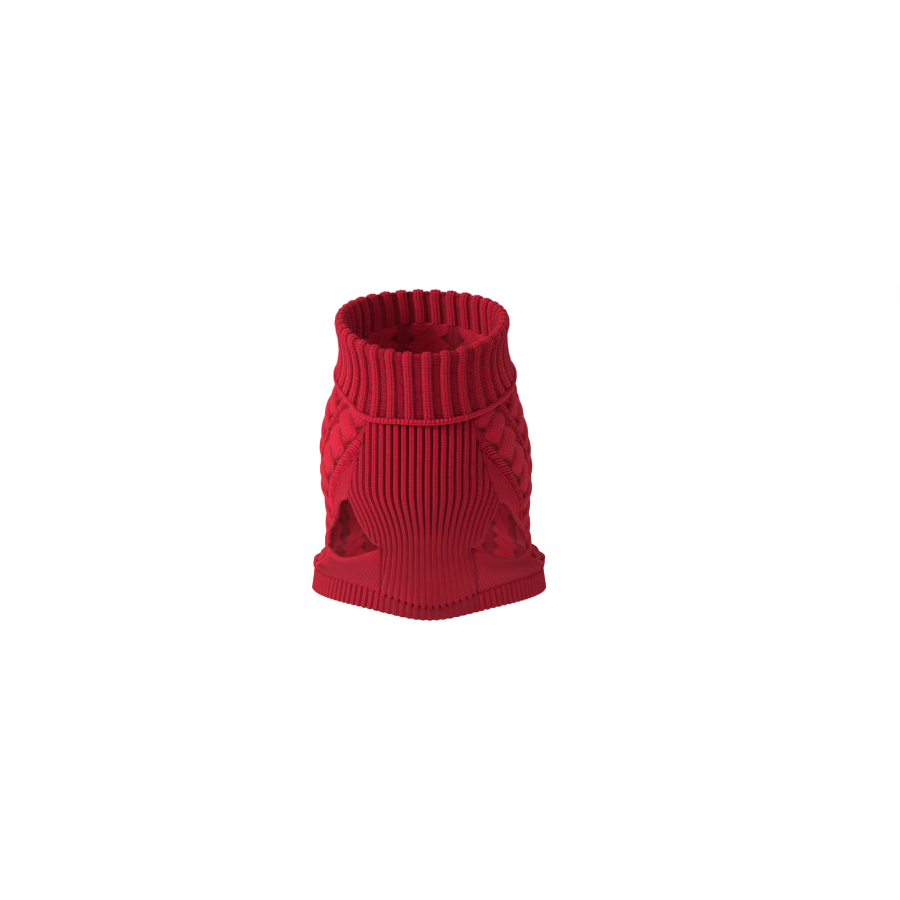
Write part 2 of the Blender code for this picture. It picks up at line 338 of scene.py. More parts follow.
def faded(relief, distance, level, start, end):
    """The relief, brought to one level near an edge."""
    near = 1 - smooth_step(distance, start, end)
    return relief * (1 - near) + level * near


def raised(relief, share, level):
    """The relief with a share of its low places filled up to a level."""
    return relief * (1 - share) + share * np.maximum(relief, level)


def new_object(name, data):
    obj = bpy.data.objects.new(name, data)
    bpy.context.scene.collection.objects.link(obj)
    return obj


# The last field holds painted shade, which darkens the wool's colour.
FIELDS = ("wale", "course", "purl", "hollow")


def new_piece(name, points, faces, fields, material):
    """The smooth-shaded object of a mesh. fields holds the numbers of each point that its material reads."""
    data = bpy.data.meshes.new(name)
    data.from_pydata((points.reshape(-1, 3) * METRE).tolist(), [], faces)
    for field, value in zip(FIELDS, fields):
        values = np.broadcast_to(value, points.shape[:-1]).astype(np.float32).ravel()
        data.attributes.new(field, "FLOAT", "POINT").data.foreach_set("value", values)
    data.shade_smooth()
    data.materials.append(material)
    return new_object(name, data)


def grid(face, reverse, place, wrap=False, **fields):
    """A grid of points of a cloth: its face, reverse, texture places, fields and quads.

    place holds each point's two flat coordinates, for the texture map.
    """
    shape = face.shape[:2]
    number = np.arange(shape[0] * shape[1]).reshape(shape)
    right = np.roll(number, -1, axis=1) if wrap else number[:, 1:]
    left = number if wrap else number[:, :-1]
    quads = np.stack([left[:-1], right[:-1], right[1:], left[1:]], -1)
    values = np.stack([np.broadcast_to(fields[field], shape) for field in FIELDS], -1)
    return [each.reshape(-1, each.shape[-1]) for each in (face, reverse, place, values, quads)]


def wall_grid(surface, normal, relief, back, across, down, **fields):
    """A grid by the heights of its face and its reverse above a surface."""
    face = surface + normal * relief[..., None]
    reverse = surface + normal * back[..., None]
    return grid(face, reverse, np.stack([across, -down], -1), course=down / COURSE, **fields)


MAP_MARGIN = 0.01
MAP_HALF = 0.48
REVERSE_SHIFT = 0.51
STRIP_LOW = 0.488
STRIP_HIGH = 0.502


def texture_places(places, loops, walls):
    """Each corner's place in the texture map: the face, then a strip for the walls, then the reverse."""
    low = places.min(axis=0)
    flat = (places - low) / (places.max(axis=0) - low)
    u = MAP_MARGIN + (1 - 2 * MAP_MARGIN) * flat[:, 0]
    v = MAP_MARGIN + (MAP_HALF - MAP_MARGIN) * flat[:, 1]
    at = np.stack([np.tile(u, 2), np.concatenate([v, v + REVERSE_SHIFT])], -1)[loops]
    edge = np.arange(walls) / walls
    step = 1 / walls
    strip = np.stack([edge + step, edge, edge, edge + step], -1).reshape(-1)
    heights = np.tile(np.repeat([STRIP_LOW, STRIP_HIGH], 2), walls)
    at[-4 * walls :] = np.stack([strip, heights], -1)
    return at


SHARP_TURN = math.radians(72)


def make_cloth(name, grids, material):
    """The thin closed wall of some grids.

    Points that coincide are merged, faces with no area are left out, and the loose edges of the face and
    the reverse are joined.
    """
    face, reverse, places, fields, quads = zip(*grids)
    offsets = np.cumsum([0] + [len(each) for each in face])
    quads = np.concatenate([each + offset for each, offset in zip(quads, offsets)])
    face, reverse, places, fields = map(np.concatenate, (face, reverse, places, fields))
    key = np.round(face * 1000).astype(np.int64)
    _, first, merged = np.unique(key, axis=0, return_index=True, return_inverse=True)
    face, reverse, places, fields = (each[first] for each in (face, reverse, places, fields))
    quads = merged.reshape(-1)[quads]
    tris = np.concatenate([quads[:, [0, 1, 2]], quads[:, [0, 2, 3]]])
    tris = tris[~(tris == np.roll(tris, 1, axis=1)).any(axis=1)]
    corner = face[tris]
    facing = np.cross(corner[:, 1] - corner[:, 0], corner[:, 2] - corner[:, 0])
    if (facing * (face - reverse)[tris[:, 0]]).sum() < 0:
        tris = tris[:, ::-1]
    total = len(face)
    starts = tris.reshape(-1)
    ends = np.roll(tris, -1, axis=1).reshape(-1)
    loose = ~np.isin(starts * total + ends, ends * total + starts)
    a, b = starts[loose], ends[loose]
    walls = np.stack([b, a, a + total, b + total], -1)
    backs = tris[:, ::-1] + total
    purl = FIELDS.index("purl")
    turned = fields.copy()
    turned[:, purl] = 1 - turned[:, purl]
    faces = tris.tolist() + backs.tolist() + walls.tolist()
    values = np.concatenate([fields, turned]).T
    piece = new_piece(name, np.concatenate([face, reverse]), faces, values, material)
    piece.data.set_sharp_from_angle(angle=SHARP_TURN)
    loops = np.concatenate([tris.reshape(-1), backs.reshape(-1), walls.reshape(-1)])
    at = texture_places(places, loops, len(walls))
    layer = piece.data.uv_layers.new(name="OFBake")
    layer.uv.foreach_set("vector", at.astype(np.float32).ravel())
    return piece


END_SHADE = 0.5


def strands_mesh(name, centre, normal, radius, material, sides=6):
    """Many short yarns as one mesh.

    centre and normal hold each yarn's sections in order, and radius holds one number for each section.
    """
    count, sections = centre.shape[:2]
    aside = unit(np.cross(np.gradient(centre, axis=1), normal))
    turn = np.linspace(0, 2 * math.pi, sides, endpoint=False)
    reach = np.asarray(radius)[None, :, None, None]
    points = centre[:, :, None] + reach * (
        aside[:, :, None] * np.cos(turn)[:, None] + normal[:, :, None] * np.sin(turn)[:, None]
    )
    number = np.arange(count * sections * sides).reshape(count, sections, sides)
    nearer, further = number[:, :-1], number[:, 1:]
    quads = np.stack(
        [nearer, further, np.roll(further, -1, axis=2), np.roll(nearer, -1, axis=2)], -1
    ).reshape(-1, 4)
    caps = np.concatenate([number[:, 0], number[:, -1, ::-1]])
    share = np.abs(np.linspace(-1, 1, sections))[None, :, None]
    fields = (0.25, 0.5, 0.0, END_SHADE * share**2)
    return new_piece(name, points, quads.tolist() + caps.tolist(), fields, material)


# ---- materials

WOOL = (0.31, 0.0049, 0.0178)
WOOL_SHADOW = 0.10
SHADER = {
    "Metallic": 0.0,
    "Roughness": 0.95,
    "Specular IOR Level": 0.03,
    "Sheen Weight": 0.07,
    "Sheen Roughness": 0.5,
    "Sheen Tint": (1.0, 0.30, 0.38, 1.0),
}
LEG_SLANT = 0.42
LEG_ROUND = 0.6
LEG_SWELL = 0.75
DOT_DEPTH = 1.2
DOT_NARROW = 3.0
PURL_STEP = 0.2
STITCH_LIT = 0.95
BASE_LIT = 0.46
PAINTED_SHADE_STRENGTH = 0.8
FUZZ_HEIGHT = 0.25

Grain = namedtuple("Grain", "scale detail change")
TENSION = Grain(150.0, 2.0, 1.5)
FUZZ = Grain(1500.0, 1.0, 0.22)
YARN = Grain(420.0, 1.0, 0.5)
MOTTLE = Grain(34.0, 3.0, 0.24)


class Number:
    """A number in a node tree. Arithmetic on it adds Math nodes."""

    def __init__(self, tree, socket):
        self.tree = tree
        self.socket = socket

    def math(self, operation, *others):
        node = self.tree.nodes.new("ShaderNodeMath")
        node.operation = operation
        for socket, value in zip(node.inputs, (self, *others)):
            if isinstance(value, Number):
                self.tree.links.new(value.socket, socket)
            else:
                socket.default_value = value
        return Number(self.tree, node.outputs[0])

    def __add__(self, other):
        return self.math("ADD", other)

    def __sub__(self, other):
        return self.math("SUBTRACT", other)

    def __mul__(self, other):
        return self.math("MULTIPLY", other)

    def scaled(self, factor, shift):
        return self.math("MULTIPLY_ADD", factor, shift)

    def bumps(self):
        """A row of round bumps, one for each whole step."""
        return (self * math.pi).math("SINE").math("ABSOLUTE")


def mix(tree, kind, factor, a, b):
    """A mix of two numbers or two colours."""
    node = tree.nodes.new("ShaderNodeMix")
    node.data_type = kind
    first, second, out = {"FLOAT": (2, 3, 0), "RGBA": (6, 7, 2)}[kind]
    for index, value in ((0, factor), (first, a), (second, b)):
        if isinstance(value, Number):
            tree.links.new(value.socket, node.inputs[index])
        else:
            node.inputs[index].default_value = value
    return Number(tree, node.outputs[out])


def noise(tree, vector, grain):
    node = tree.nodes.new("ShaderNodeTexNoise")
    node.inputs["Scale"].default_value = grain.scale
    node.inputs["Detail"].default_value = grain.detail
    tree.links.new(vector, node.inputs["Vector"])
    return Number(tree, node.outputs["Fac"])


def varied(value, grain, middle):
    """A noise turned into a number that changes by the grain's amount round a middle."""
    return value.scaled(grain.change, middle - grain.change / 2)


def read(tree, name):
    node = tree.nodes.new("ShaderNodeAttribute")
    node.attribute_name = name
    return Number(tree, node.outputs["Fac"])


def knit_height(wale, course, openness):
    """The height of a column of V-shaped stitches: two slanted legs on each wale.

    openness, from 0 to 1, is how deep the dots between the wales are.
    """
    aside = (wale.math("FRACT") - 0.5).math("ABSOLUTE") * 2.0
    bow = aside.scaled(2.0, -1.0)
    leg = (bow * bow).scaled(-1.0, 1.0)
    along = aside.scaled(-LEG_SLANT, course).bumps()
    dot = along.scaled(-openness, DOT_DEPTH * openness)
    height = leg.math("POWER", LEG_ROUND) * along.scaled(LEG_SWELL, 1 - LEG_SWELL)
    return height - aside.math("POWER", DOT_NARROW) * dot


def purl_height(wale, course):
    """The height of purl stitches: level bumps that step up and down from wale to wale."""
    return (wale * (2 * math.pi)).math("SINE").scaled(PURL_STEP, course).bumps()


def wool(name, tint=1.0, stitch_depth=0.75, openness=1.0):
    """Knitted wool: stitch bump, painted shade between yarns and in recesses, random yarn tone, soft nap.

    The mesh's fields say where each stitch lies: wale and course count stitches across and along, and purl
    and the painted shade run from 0 to 1.
    """
    material = bpy.data.materials.new(name)
    material.use_nodes = True
    tree = material.node_tree
    shader = tree.nodes["Principled BSDF"]
    for setting, value in SHADER.items():
        shader.inputs[setting].default_value = value
    where = tree.nodes.new("ShaderNodeTexCoord").outputs["Object"]
    wale = read(tree, "wale")
    course = read(tree, "course") + varied(noise(tree, where, TENSION), TENSION, 0.0)
    knit = knit_height(wale, course, openness)
    stitch = mix(tree, "FLOAT", read(tree, "purl"), knit, purl_height(wale, course))
    fuzz = noise(tree, where, FUZZ)
    # Painted shade: darker in the valleys between the yarns, by stitch height; the noises add the yarn's
    # random tone.
    tone_and_shade = stitch.scaled(STITCH_LIT, BASE_LIT) * varied(fuzz, FUZZ, 1.0)
    for grain in (YARN, MOTTLE):
        tone_and_shade = tone_and_shade * varied(noise(tree, where, grain), grain, 1.0)
    # Painted shade from the mesh's last field: darker in seams, gutters, creases and tucks.
    tone_and_shade = tone_and_shade * read(tree, "hollow").scaled(-PAINTED_SHADE_STRENGTH, 1.0)
    dark, bright = ((*(share * tint * channel for channel in WOOL), 1.0) for share in (WOOL_SHADOW, 1.0))
    tree.links.new(mix(tree, "RGBA", tone_and_shade, dark, bright).socket, shader.inputs["Base Color"])
    bump = tree.nodes.new("ShaderNodeBump")
    bump.inputs["Strength"].default_value = 1.0
    bump.inputs["Distance"].default_value = stitch_depth * METRE
    tree.links.new((stitch + fuzz * FUZZ_HEIGHT).socket, bump.inputs["Height"])
    tree.links.new(bump.outputs["Normal"], shader.inputs["Normal"])
    return material


# ---- chest panel and belly band

RIB_PITCH = (5.5, 5.1, 4.65, 4.31, 4.08, 3.45, 3.17, 2.95, 3.05, 3.3, 3.3)
MIDDLE_RIB = (2.0, 2.0, 2.0, 1.6, 1.25, 0.35, 0.0, -0.4, -0.3, 0.2, 0.2)
MOST_RIBS = 12
RIB_STEPS = (0.12, 0.22, 0.30, 0.36, 0.42)
RIB_STOPS = (-0.5, *(-step for step in reversed(RIB_STEPS)), 0.0, *RIB_STEPS)
RIB_DEPTH = 0.34
RIB_CROWN = 0.06
KNIT_HALF = 0.29
GUTTER_HALF = 0.37
WALE_LINE = 0.16
WALE_SHADE = 0.5
CHEST_GROOVE = 0.42
CHEST_WALL = 3.4
CHEST_RIM_LEVEL = -0.3
STRENGTH_RINGS = (0, 5, 7, 8, 8.9, 8.95, 9.0)
RIB_STRENGTH = (1.0, 1.0, 0.52, 0.36, 0.26, 1.0, 1.1)
EYELET_RINGS = (8.9, 8.95)


def rib_numbers(ribs):
    """Column places over the given number of ribs to each side, in ribs from the middle."""
    whole = np.arange(-math.ceil(ribs), math.ceil(ribs) + 1)
    return (whole[:, None] + np.array(RIB_STOPS)).reshape(-1)


def rib_relief(share, pitch, wales, depth, groove, knit_half=KNIT_HALF, gutter_half=GUTTER_HALF):
    """A rib across its width: its relief, wale place, share of the gutter and lines between the wales.

    share is the place in ribs from the rib's middle, -0.5 to 0.5.
    """
    aside = np.abs(share)
    drop = smooth_step(aside, knit_half, gutter_half)
    crown = RIB_CROWN * pitch * (1 - (np.minimum(aside, knit_half) / knit_half) ** 2)
    wale_place = (share / (2 * knit_half) + 0.5) * wales
    nearest = np.abs(wale_place - np.round(wale_place))
    inside = (np.round(wale_place) > 0) & (np.round(wale_place) < wales)
    lines = np.where(inside, bell(nearest, WALE_LINE), 0) * (1 - drop)
    return crown - groove * lines - depth * drop, wale_place, drop, lines


def chest_grid(rows):
    """The chest panel's angles, ring places, rib places and rib width over some rows."""
    pitch = np.radians(spline(RIB_PITCH, rows))[:, None]
    middle = np.radians(spline(MIDDLE_RIB, rows))[:, None]
    turn = panel_turn(rows)[:, None]
    edge = chest_edge(rows)[:, None]
    angle = np.clip(middle + pitch * rib_numbers(MOST_RIBS), turn - edge, turn + edge)
    ring = np.broadcast_to(rows[:, None], angle.shape)
    width = pitch * spline([row.half_width for row in BODY_RINGS], rows)[:, None]
    return angle, ring, (angle - middle) / pitch, width


def make_chest_panel():
    spans = ((NECKLINE, ARMHOLE_HIGH), (ARMHOLE_HIGH, ARMHOLE_LOW), (ARMHOLE_LOW, BAND_TOP))
    rows = np.unique(np.concatenate([row_places(*span) for span in spans] + [EYELET_RINGS]))
    angle, ring, place, width = chest_grid(rows)
    surface = body(angle, ring)
    normal = outward(body, angle, ring)
    seam = distance_to(surface, SEAMS)
    rim = distance_to(surface, RIMS_OF_CHEST)
    strength = np.interp(rows, STRENGTH_RINGS, RIB_STRENGTH)[:, None]
    eyelets = np.interp(rows, EYELET_RINGS, [0, 1])[:, None]
    share = place - np.round(place)
    relief, wale, drop, lines = rib_relief(share, width, 2, RIB_DEPTH * width * strength, CHEST_GROOVE)
    relief = faded(relief, rim, CHEST_RIM_LEVEL, 3.0, 6.0)
    relief = faded(relief, ring, NECK_LEVEL, 0, NECK_RINGS)
    tucked = tuck(surface)
    relief = relief - seam_dip(seam) - rounded_rim(rim)
    surface = surface - normal * (TUCK_DEPTH * tucked)[..., None]
    # Painted shade: the rib gutters, darker where the ribs stand high and at the eyelets, fading near the
    # armhole rim; also between wales, in seams and tucks.
    dark = drop * np.maximum(np.minimum(0.12 + 0.83 * strength, 1), eyelets) * smooth_step(rim, 1.0, 5.0)
    hollow = np.maximum.reduce([dark, WALE_SHADE * lines, seam_shade(seam, tucked)])
    back = REVERSE_SHARE * relief - CHEST_WALL
    down = travelled(surface)
    sheet = wall_grid(surface, normal, relief, back, place, down, wale=wale, purl=drop, hollow=hollow)
    return make_cloth("chest_rib_panel", [sheet], wool("chest_wool"))


# ---- back panel

CABLE_PERIOD = 60.0
CABLE_HALF = 23.0
LAST_CABLE = 240.0
LAST_GUTTER = 280.0
PURL_WALE = 3.5
PLAIN_WALE = 3.6
CROSSING = 22.5
CROSSING_START = 16.5
STRAND_SWING = 8.2
STRAND_HALF = 14.8
STRAND_TUCK = 2.2
STRAND_HEIGHT = 3.4
STRAND_LIFT = 1.5
STRAND_WALES = 6
FLOOR = -3.6
CABLE_STARTS = 0.02
CREASE_WIDTH = 0.55
CREASE_DEPTH = 0.9
CREASE_SHADE = 0.75
PLAIN_LEVEL = 1.9
PLAIN_RIDGE = 0.75
EDGE_RIDGE = 1.5
EDGE_WALES = 1.8
EDGE_WALE_LIFT = 0.5
PRESSED = 1.6
PRESSED_RINGS = (0.95, 1.35)
HOLE_PITCH = 7.0
HOLE_DEPTH = 1.0
HOLE_INSET = 3.0
HOLE_REACH = 2.6
DEEPEST = -4.6
BACK_RIM_LEVEL = -1.2
BAND_LEVEL = -2.6
BAND_RINGS = 0.12
BACK_WALL = 4.3
BACK_COLUMN = CABLE_PERIOD / 64
WIDEST = 375.0
SPLIT = 30.0
AROUND = np.linspace(-math.pi, math.pi, 1441)
COARSE = np.arange(-WIDEST, WIDEST + 1, 7.5)
LEAN = (4, -2, -10, -4.0, 9, 20, 30, 38, 43, 45, 45)
LEAN_FULL = 240.0


def knitted_from(reach, ring):
    """The pattern's distance from the middle at a place that is reach away from it."""
    return reach + spline(LEAN, ring) * np.minimum(reach / LEAN_FULL, 1)


def reach_of(pattern, ring):
    """The distance from the middle at which the pattern's own distance is found."""
    lean = spline(LEAN, ring)
    near = pattern / (1 + lean / LEAN_FULL)
    return np.where(near <= LEAN_FULL, near, pattern - lean)


def girth_table(rows):
    """Distances from the middle of the back along each ring, at the turns in AROUND."""
    angle = math.pi + AROUND[None, :] + panel_turn(rows)[:, None]
    points = plain_body(angle, np.broadcast_to(rows[:, None], angle.shape))
    run = travelled(np.swapaxes(points, 0, 1)).T
    return run - run[:, [len(AROUND) // 2]]


def turns_at(reach, table):
    """The turns from the back's middle at which each row comes to its distances."""
    return np.array([np.interp(k, line, AROUND) for k, line in zip(reach, table)])


def lengths_at(reach, down_table):
    """How far down its wale each row's distances lie."""
    return np.array([np.interp(k, COARSE, line) for k, line in zip(reach, down_table)])


def edges_at(edge, table):
    """The distances of each row's two ends, where the back panel's edge lies at the given angles."""
    return np.array([np.interp([e - math.pi, math.pi - e], AROUND, line) for e, line in zip(edge, table)])


def back_tables(rows):
    """The girth table, and how far down its wale each place of COARSE lies in each row."""
    table = girth_table(rows)
    turns = turns_at(np.broadcast_to(COARSE, (len(rows), len(COARSE))), table)
    ring = np.broadcast_to(rows[:, None], turns.shape)
    return table, travelled(plain_body(math.pi + turns + panel_turn(ring), ring))


def rope(x, down):
    """A cable of two strands that turn round each other: its height, wale and creases, for a dip and painted
    shade.
    """
    turn = math.pi * (down - CROSSING_START) / CROSSING + math.pi * np.array([0, 1])[:, None, None]
    lift = np.cos(turn)
    across = (x - STRAND_SWING * np.sin(turn)) / (STRAND_HALF - STRAND_TUCK * lift)
    dome = np.maximum(1 - np.abs(across) ** 2.3, 0) ** 0.55
    rise = STRAND_LIFT * lift * smooth_step(1 - np.abs(across), 0, 0.1)
    heights = np.where(np.abs(across) < 1, STRAND_HEIGHT * dome + rise, 0)
    height = np.maximum(*heights)
    wale = np.where(heights[0] >= heights[1], *((across / 2 + 0.5) * STRAND_WALES))
    gap = np.abs(heights[0] - heights[1])
    under = np.minimum(*heights)
    crease = bell(gap, CREASE_WIDTH) * smooth_step(under, 0.2, 1.0)
    ridge = 0.22 * (np.abs(np.sin(math.pi * wale)) - 0.6) * smooth_step(height, 0.4, 1.6)
    return height + ridge - CREASE_DEPTH * crease, wale, crease


def back_relief(reach, down, side):
    """The relief of the back panel, its wale place, its share of purl and its painted shade.

    reach is the pattern's distance from the middle, down is the length along the wales, and side is -1 or 1.
    """
    number = np.minimum(np.round(reach / CABLE_PERIOD), LAST_CABLE / CABLE_PERIOD)
    x = reach - number * CABLE_PERIOD
    x = np.where(number == 0, x * side, x)
    height, wale, crease = rope(x, down)
    cable = height > CABLE_STARTS
    gutter_wale = (x - CABLE_HALF) / PURL_WALE
    plain = smooth_step(reach, LAST_GUTTER - 0.6, LAST_GUTTER + 0.9)
    plain_wale = (reach - LAST_GUTTER) / PLAIN_WALE
    ridge = 0.5 - 0.5 * np.cos(2 * math.pi * plain_wale)
    strong = PLAIN_RIDGE + EDGE_RIDGE * np.exp(-np.maximum(plain_wale, 0) / EDGE_WALES)
    first_wale = EDGE_WALE_LIFT * bell(plain_wale - 0.5, 0.5)
    level = plain * (PLAIN_LEVEL + (ridge - 0.5) * strong + first_wale)
    relief = FLOOR + np.where(cable, height, 0) + level
    wale = np.where(cable, wale, np.where(plain > 0.5, plain_wale, gutter_wale))
    purl = np.where(cable, 0, 1 - plain)
    beside = bell(np.maximum(np.abs(x) - CABLE_HALF + HOLE_INSET, 0), HOLE_REACH) * (1 - plain)
    holes = beside * (0.5 + 0.5 * np.cos(2 * math.pi * down / HOLE_PITCH)) * ~cable
    relief = relief - HOLE_DEPTH * holes
    # Painted shade: at the cables' feet, in their creases, on the purl floor, deeper beside the cables and in
    # the holes, and between the plain ridges.
    cable_foot_shade = 0.6 * np.exp(-height / 0.5)
    hollow = np.maximum(CREASE_SHADE * crease, np.where(cable, cable_foot_shade, 0.5 + 0.2 * beside + 0.45 * holes))
    plain_hollow = 0.85 * (1 - ridge) ** 2 * np.minimum(0.3 + 0.5 * strong, 1)
    return relief, wale, purl, np.where(plain > 0.5, plain_hollow, hollow)


def back_grid(part, rows, edge, table, down_table):
    """The back panel's columns in part over some rows, as far as the panel's edge in each row."""
    limits = edges_at(edge, table)
    reach = np.clip(part[None, :], limits[:, :1], limits[:, 1:])
    turn = turns_at(reach, table)
    ring = np.broadcast_to(rows[:, None], turn.shape)
    down = lengths_at(reach, down_table)
    angle = math.pi + turn + panel_turn(ring)
    surface = body(angle, ring)
    normal = outward(body, angle, ring)
    relief, wale, purl, hollow = back_relief(knitted_from(np.abs(reach), ring), down, np.sign(reach))
    rim = distance_to(surface, RIMS_OF_BACK)
    seam = distance_to(surface, SEAMS)
    near_rim = 1 - smooth_step(rim, 1.0, 9.0)
    relief = raised(relief, near_rim, BACK_RIM_LEVEL)
    relief = np.maximum(relief - PRESSED * (1 - smooth_step(ring, *PRESSED_RINGS)), DEEPEST)
    relief = faded(relief, ring, NECK_LEVEL, 0, NECK_RINGS)
    relief = raised(relief, smooth_step(ring, BAND_TOP - BAND_RINGS, BAND_TOP), BAND_LEVEL)
    tucked = tuck(surface)
    relief = relief - seam_dip(seam) - rounded_rim(rim)
    thinner = 1.0 * near_rim + 0.9 * (1 - smooth_step(ring, 0, NECK_RINGS))
    back = REVERSE_SHARE * relief - BACK_WALL + thinner
    surface = surface - normal * (TUCK_DEPTH * tucked)[..., None]
    hollow = np.maximum(hollow, seam_shade(seam, tucked))
    return wall_grid(surface, normal, relief, back, reach, down, wale=wale, purl=purl, hollow=hollow)


def make_back_panel():
    """The back panel's two halves, which meet in the gutter beside the middle cable."""
    upper = np.unique(
        np.concatenate([row_places(NECKLINE, ARMHOLE_HIGH), row_places(ARMHOLE_HIGH, ARMHOLE_LOW)])
    )
    lower = row_places(ARMHOLE_LOW, BAND_TOP)
    rows = np.concatenate([upper, lower[1:]])
    table, down_table = back_tables(rows)
    corner = len(upper) - 1
    columns = np.arange(-WIDEST, WIDEST + BACK_COLUMN / 2, BACK_COLUMN)
    for end in edges_at([ARMHOLE_END], table[corner : corner + 1])[0]:
        columns[np.argmin(np.abs(columns - end))] = end
    upper_edge = np.where(upper <= ARMHOLE_HIGH, chest_edge(upper), armhole_edge(upper))
    spans = ((slice(0, corner + 1), upper_edge), (slice(corner, len(rows)), chest_edge(lower)))
    material = wool("cable_wool", 1.03, openness=0.7)
    pieces = []
    for name, part in (
        ("cable_back_right_half", columns[columns <= SPLIT]),
        ("cable_back_left_half", columns[columns >= SPLIT]),
    ):
        grids = [back_grid(part, rows[span], edge, table[span], down_table[span]) for span, edge in spans]
        pieces.append(make_cloth(name, grids, material))
    return pieces


RUNG_PITCH = 3.3
Gutter = namedtuple("Gutter", "middle half")
RUNG_GUTTERS = (
    Gutter(30, 6.8),
    Gutter(90, 6.8),
    Gutter(150, 6.8),
    Gutter(210, 6.8),
    Gutter(271.5, 8.3),
)
RUNG_ACROSS = (-1.0, -0.7, -0.24, 0.24, 0.7, 1.0)
RUNG_HEIGHTS = (0.0, 1.0, 1.5, 1.5, 1.0, 0.0)
RUNG_RADII = (0.4, 0.8, 1.0, 1.0, 0.8, 0.4)
RUNG_BOW = 0.9
RUNG_UNEVEN = 0.35
RUNG_SLANT = 0.16
RUNG_TOP = 0.35
RUNG_ROWS = 4.0


def make_cable_rungs():
    """The purl stitches that cross the gutters beside the cables, as short yarns."""
    rows = row_places(NECKLINE, BAND_TOP, RUNG_ROWS)
    table, down_table = back_tables(rows)
    steps = np.arange(RUNG_PITCH / 2, down_table.max(), RUNG_PITCH)
    points = []
    normals = []
    for side in (-1, 1):
        for gutter in RUNG_GUTTERS:
            rings = []
            around = []
            uneven = RUNG_UNEVEN * np.sin(2.4 * np.arange(len(steps)) + gutter.middle)
            for share in RUNG_ACROSS:
                across = share * gutter.half
                reach = side * reach_of(gutter.middle + across, rows)
                bend = RUNG_SLANT * across + RUNG_BOW * share**2
                ring = np.interp(steps + bend + uneven, lengths_at(reach, down_table), rows)
                rings.append(ring)
                around.append(np.interp(ring, rows, turns_at(reach, table)))
            ring = np.stack(rings, -1)
            turn = np.stack(around, -1)
            in_armhole = (ring > ARMHOLE_HIGH) & (ring < ARMHOLE_LOW)
            free = np.where(in_armhole, armhole_edge(ring) + 0.05, chest_edge(ring))
            limit = math.pi - free - 0.02
            low_enough = ((ring > RUNG_TOP) & (ring < BAND_TOP - 0.03)).all(axis=1)
            keep = low_enough & (np.abs(turn) < limit)[:, :4].all(axis=1)
            angle = (math.pi + np.clip(turn, -limit, limit) + panel_turn(ring))[keep]
            ring = ring[keep]
            normal = outward(body, angle, ring)
            points.append(body(angle, ring) + normal * (FLOOR + np.array(RUNG_HEIGHTS))[:, None])
            normals.append(normal)
    material = wool("purl_wool", 1.0)
    return strands_mesh(
        "cable_gutter_purls", np.concatenate(points), np.concatenate(normals), RUNG_RADII, material
    )


# ---- bands at the hem

BAND_RIB = 7.4
BAND_DEPTH = 25.0
BAND_DROP = 0.9
BAND_ROUND = 1.6
HEM_ROWS = 13
BAND_STRETCH = 0.86
BELLY_WALL = 3.2
BELLY_GROOVE = 0.15
EYELET_FADE = 0.03
EXTRA_ROWS = (BAND_TOP + 0.02, BAND_TOP + 0.045)
BACK_BAND_WALL = 3.4
BACK_BAND_GROOVE = 0.3


def band_round(place):
    """How far the face drops at the hem's edge. place runs from 0 at the band's top to 1 at the hem."""
    return rounded_rim((1 - place) * BAND_DEPTH) + BAND_DROP * bell(place * BAND_DEPTH, BAND_ROUND)


def make_belly_hem():
    rows = np.unique(np.append(np.linspace(BAND_TOP, HEM, HEM_ROWS), EXTRA_ROWS))
    angle, ring, place, width = chest_grid(rows)
    surface = body(angle, ring)
    along = (ring - BAND_TOP) / (HEM - BAND_TOP)
    eyelets = np.exp(-along / EYELET_FADE)
    share = place - np.round(place)
    relief, wale, drop, _ = rib_relief(share, width, 2, 0.4 + 1.8 * eyelets, BELLY_GROOVE)
    relief = relief - band_round(along)
    # Painted shade over the whole band, deeper in the gutters and most at the eyelets.
    hollow = 0.46 + drop * (0.12 + 0.45 * eyelets)
    normal = outward(body, angle, ring)
    back = REVERSE_SHARE * relief - BELLY_WALL
    down = travelled(surface)
    sheet = wall_grid(surface, normal, relief, back, place, down, wale=wale, purl=drop * 0.5, hollow=hollow)
    return make_cloth("belly_band", [sheet], wool("belly_band_wool"))


def make_back_hem():
    rows = np.linspace(BAND_TOP, HEM, HEM_ROWS)
    table = girth_table(rows)
    ribs = round(table[0].max() * 2 * BAND_STRETCH / BAND_RIB)
    number = rib_numbers(ribs / 2)
    share_of = np.clip(number / (ribs / 2), -1, 1)
    limits = edges_at(chest_edge(rows), table)
    reach = np.where(share_of < 0, -share_of * limits[:, :1], share_of * limits[:, 1:])
    turn = turns_at(reach, table)
    ring = np.broadcast_to(rows[:, None], turn.shape)
    angle = math.pi + turn + panel_turn(ring)
    surface = body(angle, ring)
    share = np.clip(number, -ribs / 2, ribs / 2)[None, :] + 0 * reach
    share = share - np.round(share)
    along = (ring - BAND_TOP) / (HEM - BAND_TOP)
    relief, wale, drop, _ = rib_relief(share, BAND_RIB, 2, 1.7 - 0.5 * along, BACK_BAND_GROOVE)
    relief = relief - band_round(along)
    normal = outward(body, angle, ring)
    back = REVERSE_SHARE * relief - BACK_BAND_WALL
    down = travelled(surface)
    # Painted shade in the rib gutters.
    sheet = wall_grid(surface, normal, relief, back, reach, down, wale=wale, purl=drop, hollow=0.6 * drop)
    return make_cloth("back_band", [sheet], wool("back_band_wool"))


# ---- collar

